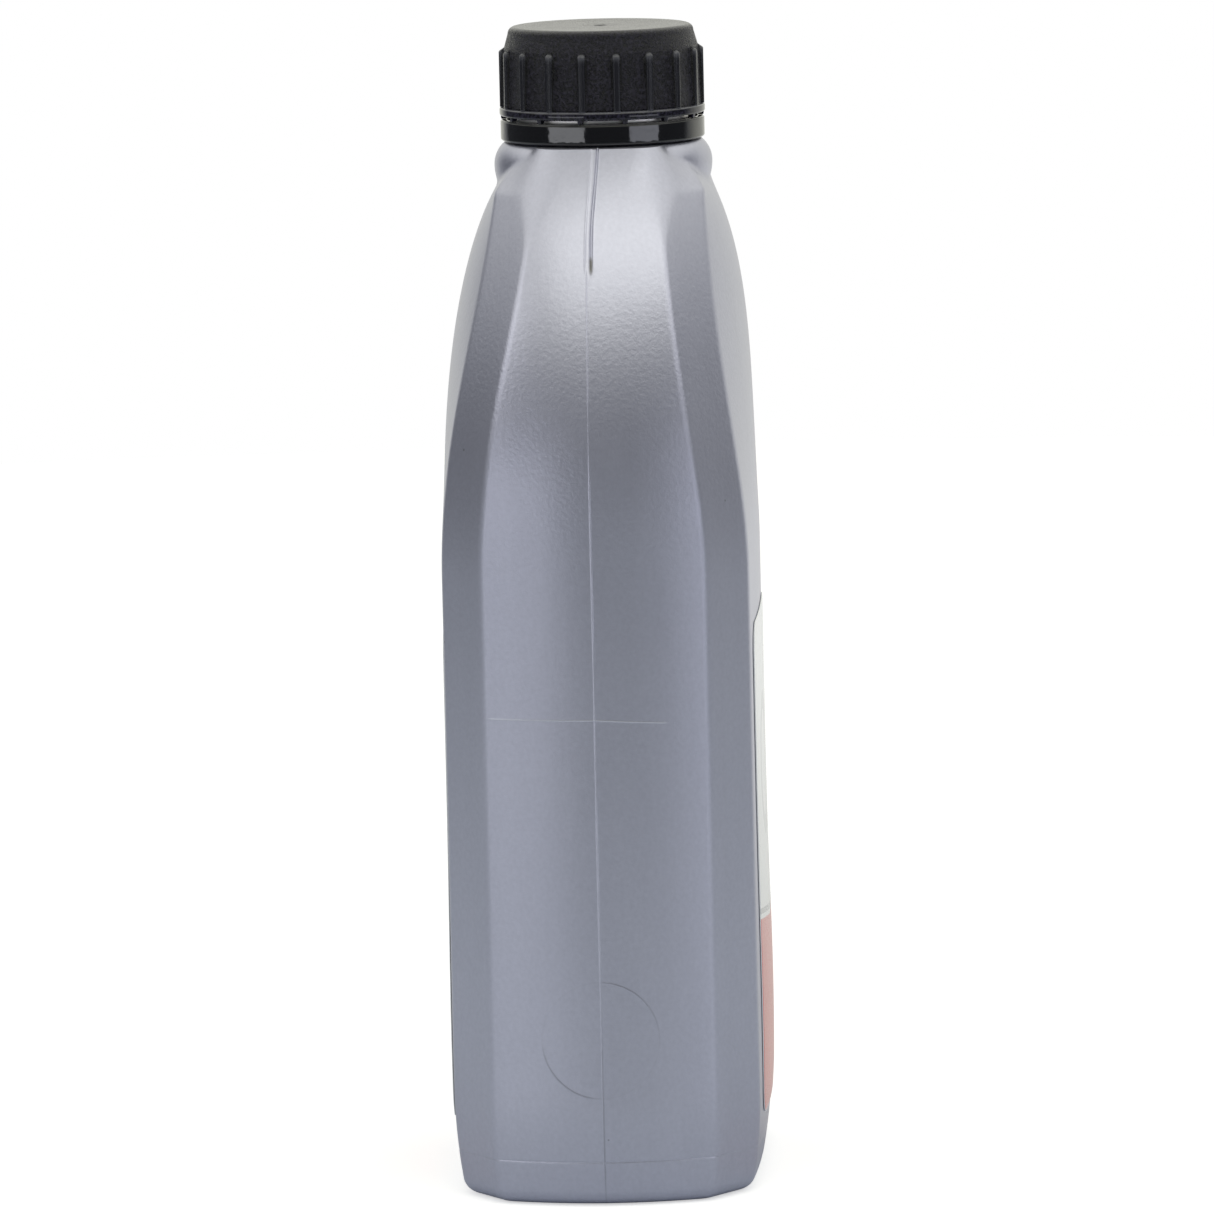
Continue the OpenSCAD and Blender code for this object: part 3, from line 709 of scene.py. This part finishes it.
def bridges():
    """Small tapering bridges under the bead: boxes whose lower ends are drawn in, as one mesh."""
    corner = np.array([[-1, -1], [1, -1], [1, 1], [-1, 1]])
    low, high = BAND_TOP - LEDGE_DROP + BRIDGE_GAP, CAP_Z + 0.2
    middle = (BAND_BORE + BAND_R) / 2 - 0.05
    size = np.array([[0.55, 0.45], [0.7, 0.6]]) * np.array([1, BRIDGE_W])
    box = np.concatenate([np.concatenate([corner * size[k], np.full((4, 1), h)], 1)
                          for k, h in ((0, low), (1, high))])
    turn = np.radians(BRIDGE_TURN + np.arange(BRIDGE_COUNT) * 360 / BRIDGE_COUNT)[:, None]
    out, along = middle + box[None, :, 0], box[None, :, 1]
    points = np.stack([out * np.cos(turn) - along * np.sin(turn),
                       NECK_Y + out * np.sin(turn) + along * np.cos(turn),
                       box[None, :, 2] + 0 * turn], 2).reshape(-1, 3)
    cube = np.array([[3, 2, 1, 0], [4, 5, 6, 7], [0, 1, 5, 4], [1, 2, 6, 5], [2, 3, 7, 6], [3, 0, 4, 7]])
    faces = (cube[None] + 8 * np.arange(BRIDGE_COUNT)[:, None, None]).reshape(-1, 4).tolist()
    piece = put_mesh("cap_bridges", points, faces, black, "cap")
    piece.data.polygons.foreach_set("use_smooth", np.zeros(len(faces), bool))
    rounded = piece.modifiers.new("rounded", "BEVEL")
    rounded.width = 0.12 * MM
    rounded.segments = 2


def tamper_band():
    """The band as a turned ring: hook, bevelled foot, face, inset ledge, plain bore."""
    angle = np.radians(np.arange(0, 360, 1.5))
    ledge_r, ledge_z = BAND_R - LEDGE_IN, BAND_TOP - LEDGE_DROP
    rows = profile(
        bend(BAND_HOOK_R + 0.25, BAND_HOOK_Z - 0.25, 0.25, 90, 180, 4),
        bend(BAND_HOOK_R + 0.25, BAND_Z + 0.25, 0.25, 180, 270, 4),
        [[BAND_R - 0.75, BAND_Z]],
        bend(BAND_R - 0.55, BAND_Z + 0.55, 0.55, 275, 360, 8),
        line((BAND_R, BAND_Z + 0.6), (BAND_R, ledge_z - 0.5), 6),
        bend(BAND_R - 0.15, ledge_z - 0.45, 0.15, 0, 90, 4),
        bend(ledge_r + 0.05, ledge_z - 0.23, 0.05, 270, 180, 2),
        bend(ledge_r - 0.15, ledge_z - 0.15, 0.15, 0, 90, 4),
        bend(BAND_BORE + 0.15, ledge_z - 0.15, 0.15, 90, 180, 4),
        line((BAND_BORE, ledge_z - 0.15), (BAND_BORE, BAND_HOOK_Z), 4))
    piece = round_piece("tamper_ring", turned(rows[:, :1], rows[:, 1:], angle), gloss, "bottle",
                        None)
    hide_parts("tamper_band")


def label_film(name, node, side, material):
    """Film with round corners on one label face: a grid across and up, closed at its rim into a thin
    shell that follows the face's own curve."""
    rows, cols = 70, 44
    t = np.linspace(-1, 1, cols + 1)[None]
    dz = LABEL_H / 2 * np.sin(np.radians(np.linspace(-90, 90, rows + 1)))[:, None]
    past = np.maximum(0, np.abs(dz) - (LABEL_H / 2 - LABEL_ROUND))
    half = LABEL_W / 2 - LABEL_ROUND + np.sqrt(np.maximum(0, LABEL_ROUND ** 2 - past ** 2))
    x, z = half * t, LABEL_Z + LABEL_H / 2 + dz + 0 * t
    lie = label_face(x, z)
    skins = [np.stack([-side * x, side * (lie + lift), z], 2).reshape(-1, 3)
             for lift in (LABEL_GLUE, LABEL_GLUE + LABEL_T)]
    count = (rows + 1) * (cols + 1)
    index = np.arange(count).reshape(rows + 1, cols + 1)
    quads = np.stack([index[:-1, :-1], index[:-1, 1:], index[1:, 1:], index[1:, :-1]], 2).reshape(-1, 4)
    rim = np.concatenate([index[0, :-1], index[:-1, -1], index[-1, :0:-1], index[:0:-1, 0]])
    ahead = np.roll(rim, -1)
    edge = np.stack([rim, ahead, ahead + count, rim + count], 1)
    faces = np.concatenate([quads[:, ::-1], quads + count, edge]).tolist()
    piece = put_mesh(name, np.concatenate(skins), faces, material, "bottle")
    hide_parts(node)


blown_bottle()
screw_cap()
bridges()
tamper_band()
label_film("front_film", "front_label", -1, print_film("front_print", True))
label_film("back_film", "back_label", 1, print_film("back_print", False))
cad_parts["sealing_wad"].data.materials.clear()
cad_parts["sealing_wad"].data.materials.append(wad_foam())


def aim(obj, place, target, roll=0.0):
    """Puts an object at place, looking along its -Z at target, rolled about that line."""
    back = (Vector(place) - Vector(target)).normalized()
    right = Vector((0, 0, 1)).cross(back).normalized()
    up = back.cross(right)
    c, s = math.cos(roll), math.sin(roll)
    axes = Matrix((right * c - up * s, right * s + up * c, back)).transposed().to_4x4()
    obj.matrix_world = Matrix.Translation(Vector(place)) @ axes


def photo_camera():
    """Camera at the photograph's angle, with its focal length in pixels and its slight roll."""
    scene = bpy.context.scene
    lens = bpy.data.cameras.new("camera")
    lens.sensor_width = SENSOR_MM
    lens.lens = FOCAL_PIXELS * SENSOR_MM / PHOTO_PIXELS
    lens.clip_end = 50
    camera = bpy.data.objects.new("camera", lens)
    scene.collection.objects.link(camera)
    turn = math.radians(VIEW)
    stand = (CAMERA_AWAY * math.sin(turn), -CAMERA_AWAY * math.cos(turn), CAMERA_UP)
    aim(camera, stand, TARGET, math.radians(ROLL))
    scene.camera = camera


def softbox(name, azimuth, distance, height, width, tall, radiance, colour):
    """Area lamp of even radiance at an azimuth about the bottle, aimed at its axis."""
    lamp = bpy.data.lights.new(name, "AREA")
    lamp.color = colour
    lamp.shape = "RECTANGLE"
    lamp.size, lamp.size_y = width, tall
    lamp.energy = radiance * math.pi * width * tall
    box = bpy.data.objects.new(name, lamp)
    bpy.context.scene.collection.objects.link(box)
    a = math.radians(azimuth)
    aim(box, (distance * math.sin(a), -distance * math.cos(a), height), (0, 0, min(height, 0.6)))


def lamps():
    """Two low strips in front of the bottle, a dim panel on either side and one box overhead."""
    cool, cooler = (0.97, 0.985, 1.03), (0.95, 0.97, 1.08)
    plain, warm = (1.0, 1.0, 1.0), (1.01, 1.012, 0.91)
    softbox("left_strip", VIEW - 42, 1.5, 0.07, 1.15, 0.14, 2.1, cool)
    softbox("right_strip", VIEW + 48, 1.5, 0.07, 0.95, 0.14, 1.8, cooler)
    softbox("left_panel", VIEW - 65, 1.5, 0.85, 1.30, 0.9, 0.70, plain)
    softbox("right_panel", VIEW + 64, 1.5, 0.85, 1.10, 0.9, 0.54, plain)
    softbox("top_box", VIEW + 16, 0.80, 1.40, 1.6, 1.0, 0.92, warm)


def white_floor():
    """Round floor, white with a shadow for the camera. Towards the backdrop it glows for mirrored rays,
    more faintly near the bottle as painted shade. For all else it is a grey that falls off as
    1 / (1 + distance squared), a painted falloff of light, and dips at the bottle's foot as painted shade."""
    f = Finish(bpy.data.materials.new("floor"))
    _, x, y, _ = f.place()
    seen, mirrored = f.rays()
    spread = (x * x + y * y + 1.0) ** 0.5
    left = (y / spread).step(-0.15, 0.35)
    towards = (x * BACK_X + y * BACK_Y) / spread + left * BACK_LEFT
    backdrop = mirrored * towards.step(0.55, 0.85)
    # Painted shade: the glow for mirrored rays is fainter near the bottle
    far_glow = backdrop * (0.10 + 0.33 * spread.step(150.0, 900.0))
    glow = f.add("ShaderNodeEmission", None, rgb(1, 1, 1), far_glow.most(seen * 0.55))
    matt = f.add("ShaderNodeBsdfDiffuse", None, rgb(0.8, 0.8, 0.8))
    bright = f.add("ShaderNodeAddShader", None, glow, matt)
    # Painted light: a grey that falls off with distance, with painted shade at the bottle's foot
    painted_light_falloff = (0.85 + 0.15 * spread.step(60.0, 240.0)) / (1 + (x * x + y * y * 0.35) / 800.0 ** 2)
    grey = f.blend(painted_light_falloff, rgb(0, 0, 0), rgb(0.74, 0.79, 0.88))
    dim = f.add("ShaderNodeBsdfDiffuse", None, grey)
    shown = f.add("ShaderNodeMixShader", None, seen.most(backdrop), dim, bright)
    f.add("ShaderNodeOutputMaterial", None, shown)

    angle = np.radians(np.arange(0, 360, 5))
    rim = np.stack([FLOOR_R * np.cos(angle), FLOOR_R * np.sin(angle), 0 * angle - FLOOR_DROP], 1)
    mesh = bpy.data.meshes.new("floor")
    mesh.from_pydata(rim.tolist(), [], [list(range(len(angle)))])
    mesh.materials.append(f.owner)
    floor = bpy.data.objects.new("floor", mesh)
    bpy.context.scene.collection.objects.link(floor)


def white_room():
    """World: white for the camera, an even light for diffuse rays, and for mirrored rays a room that
    brightens with height, less so straight above, with a bright backdrop behind the bottle."""
    f = Finish(bpy.data.worlds.new("studio"))
    bpy.context.scene.world = f.owner
    direction = f.add("ShaderNodeTexCoord", out="Generated")
    dx, dy, dz = f.add("ShaderNodeSeparateXYZ", None, direction, out=(0, 1, 2))
    seen, mirrored = f.rays()
    behind = (dx * BACK_X + dy * BACK_Y + BACK_LEFT * dy.step(-0.15, 0.35)).step(0.45, 0.85)
    aside = 0.34 * dx.step(-0.8, 0.0)
    room = 0.09 + 0.71 * dz.step(0.12, 0.70) - 0.36 * dz.step(0.85, 1.0) + aside * dz.step(0.15, 0.5)
    light = mirrored * room.most(0.88 * behind) + (1 - mirrored) * 0.60
    level = seen.most((1 - seen) * light)
    hue = f.blend(dz.step(0.1, 0.5).most(behind), rgb(0.94, 0.98, 1.08), rgb(1.01, 1.012, 0.93))
    sky = f.add("ShaderNodeBackground", None, f.blend(seen, hue, rgb(1, 1, 1)), level)
    f.add("ShaderNodeOutputWorld", None, sky)


def studio():
    """Camera, lamps, floor and world, shown as written by the Standard view transform."""
    bpy.context.scene.view_settings.view_transform = "Standard"
    photo_camera()
    lamps()
    white_floor()
    white_room()


studio()
